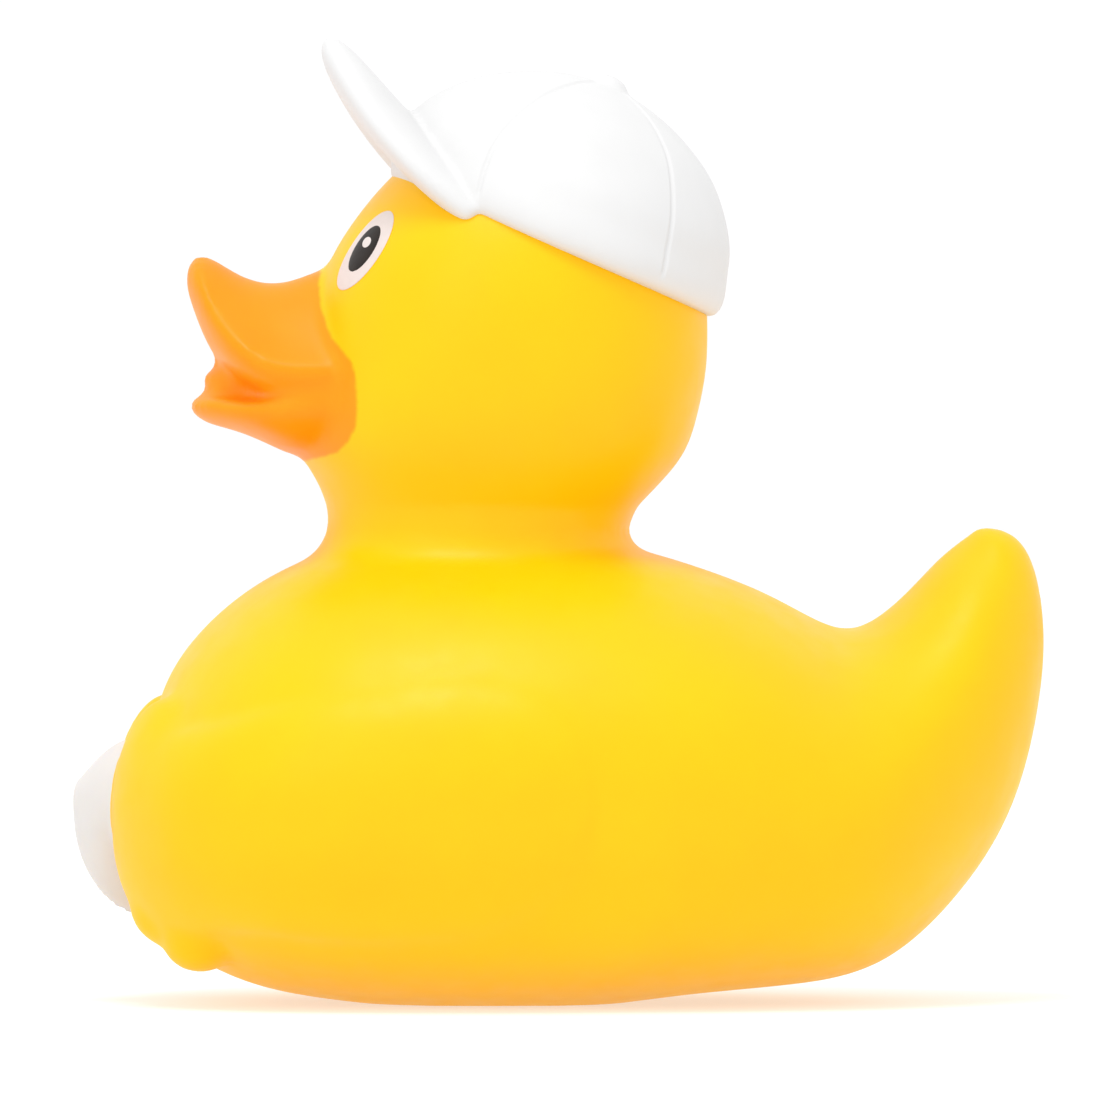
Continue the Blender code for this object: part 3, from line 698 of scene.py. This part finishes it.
def cap():
    """Crown, peak and button drawn over as one skin, then the panel seams pressed in."""
    crown = loft("crown_form", crown_stations(), 160, 110)
    peak = sphere("peak_form", 140, 60, peak_place)
    button = sphere("button_form", 64, 40, button_place)
    crown_tree, button_tree = surface_of(crown), surface_of(button)
    made = blend_forms("cap", [crown, peak, button], CAP_GRID)
    smooth(made, 6)
    off, beyond = seam_distance(made, crown_tree, button_tree)
    near = (off < 2.4 * SEAM_HALF_WIDTH) & (beyond < 1.0)
    choose(made)
    for polygon in made.data.polygons:
        polygon.select = all(near[i] for i in polygon.vertices)
    bpy.ops.object.mode_set(mode="EDIT")
    bpy.ops.mesh.subdivide(number_cuts=2)
    bpy.ops.object.mode_set(mode="OBJECT")
    off, beyond = seam_distance(made, crown_tree, button_tree)
    depth = SEAM_DEPTH * np.clip(1 - (off / SEAM_HALF_WIDTH) ** 2, 0, 1) ** 2 * np.clip(1.2 - beyond / 0.8, 0, 1)
    normals = np.array([v.normal for v in made.data.vertices])
    made.data.vertices.foreach_set("co", ((vertices_of(made) - normals * depth[:, None]) * MM).ravel())
    made.data.update()
    return made


def eye_layer(name, tree, ink, lift):
    """One ink of both eye prints: an oval film lying on the head."""
    off, half, top = ink
    films = []
    for side in (1, -1):
        def place(ring, segment, p):
            start = Vector((side * 40.0, EYE_MIDDLE[0] + off[0] + half * p[0] + top[0] * p[1],
                            EYE_MIDDLE[1] + off[1] + top[1] * p[1]))
            hit, normal = tree.ray_cast(start * MM, Vector((-side, 0, 0)))[:2]
            return hit / MM + normal * (lift * (0.4 + 0.6 * p[2]) if p[2] > 0 else lift * 0.4 + 0.2 * p[2])
        films.append(sphere(name, 72, 24, place))
    deselect()
    for film in films:
        film.select_set(True)
    bpy.context.view_layer.objects.active = films[0]
    bpy.ops.object.join()
    bpy.ops.object.shade_smooth()
    return films[0]


def squeaker():
    """The whistle insert: its outline spun round, with its edges eased."""
    deselect()
    bpy.ops.mesh.primitive_plane_add(size=MM, location=(0, 0, 0))
    made = bpy.context.active_object
    made.name = made.data.name = "squeaker_insert"
    drawn = bmesh.new()
    corners = [drawn.verts.new((r * MM, HOLE_Y * MM, z * MM)) for r, z in SQUEAKER]
    drawn.faces.new(corners)
    bmesh.ops.bevel(drawn, geom=drawn.verts[:], offset=0.18 * MM, segments=4, profile=0.5, affect="VERTICES")
    drawn.to_mesh(made.data)
    drawn.free()
    choose(made)
    bpy.ops.object.mode_set(mode="EDIT")
    bpy.ops.mesh.select_all(action="SELECT")
    bpy.ops.mesh.delete(type="ONLY_FACE")
    bpy.ops.mesh.select_all(action="SELECT")
    bpy.ops.mesh.spin(steps=96, angle=2 * math.pi, center=(0, HOLE_Y * MM, 0), axis=(0, 0, 1))
    bpy.ops.mesh.select_all(action="SELECT")
    bpy.ops.mesh.remove_doubles(threshold=1e-6)
    bpy.ops.mesh.normals_make_consistent(inside=False)
    bpy.ops.object.mode_set(mode="OBJECT")
    bpy.ops.object.shade_smooth_by_angle(angle=math.radians(40))
    return made


def dress(thing, finish, body_slot, *stands_for):
    thing.data.materials.clear()
    thing.data.materials.append(finish)
    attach(thing, "root")
    if stands_for:
        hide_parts(*stands_for)


# ---- studio ----

def camera():
    data = bpy.data.cameras.new("camera")
    data.lens, data.sensor_width, data.clip_start, data.clip_end = 448.8, 36.0, 0.01, 20.0
    made = bpy.data.objects.new("camera", data)
    bpy.context.scene.collection.objects.link(made)
    azimuth, elevation = math.radians(88.5), math.radians(0.6)
    way = Vector((math.sin(azimuth) * math.cos(elevation), -math.cos(azimuth) * math.cos(elevation),
                  math.sin(elevation)))
    made.location = Vector((0, 0, 0.0414)) + way * 1.3
    made.rotation_euler = way.to_track_quat("Z", "Y").to_euler()
    bpy.context.scene.camera = made


def soft_light(name, power, size, place, colour=(1.0, 1.0, 1.0)):
    """A square soft box aimed at the middle of the duck."""
    data = bpy.data.lights.new(name, "AREA")
    data.energy, data.shape, data.size, data.color = power, "SQUARE", size, colour
    made = bpy.data.objects.new(name, data)
    made.location = place
    made.rotation_euler = (Vector(place) - Vector((0, 0, 0.04))).to_track_quat("Z", "Y").to_euler()
    bpy.context.scene.collection.objects.link(made)


def studio():
    deselect()
    bpy.ops.mesh.primitive_plane_add(size=6.0, location=(0, 0, 0))
    floor = bpy.context.active_object
    floor.name = "floor"
    floor.data.materials.append(light_table())
    world = bpy.data.worlds.new("studio")
    world.use_nodes = True
    world.node_tree.nodes["Background"].inputs["Color"].default_value = (1.0, 1.0, 1.0, 1.0)
    world.node_tree.nodes["Background"].inputs["Strength"].default_value = 1.02
    bpy.context.scene.world = world
    soft_light("soft_box_above", 3.0, 0.3, (0.32, -0.12, 0.85))
    soft_light("soft_box_side", 0.8, 0.5, (0.8, -0.5, 0.5))
    bpy.context.scene.view_settings.view_transform = "Standard"


camera()
skin = duck_skin()
head_tree = surface_of(skin)
dress(skin, painted_vinyl(), "vinyl", "duck")
dress(cap(), sprayed_white("lacquer_sprayed_on_cap", "#DADADA", "#D7D7D7"), "vinyl")
dress(eye_layer("eye_white_print", head_tree, EYE_WHITE, 0.08),
      printed_ink("ink_pad_printed_white", "#D8CCC7", "#D4C8C3", 0.3, 0.4), "vinyl")
dress(eye_layer("eye_pupil_print", head_tree, EYE_PUPIL, 0.13),
      printed_ink("ink_pad_printed_black", "#20160F", "#18100B", 0.3, 0.4), "vinyl")
dress(eye_layer("eye_glint_print", head_tree, EYE_GLINT, 0.18),
      printed_ink("ink_pad_printed_glint", "#D8CFCB", "#D4CBC7", 0.3, 0.4), "vinyl")
dress(squeaker(), moulded_polythene(), "squeaker", "squeaker")
studio()
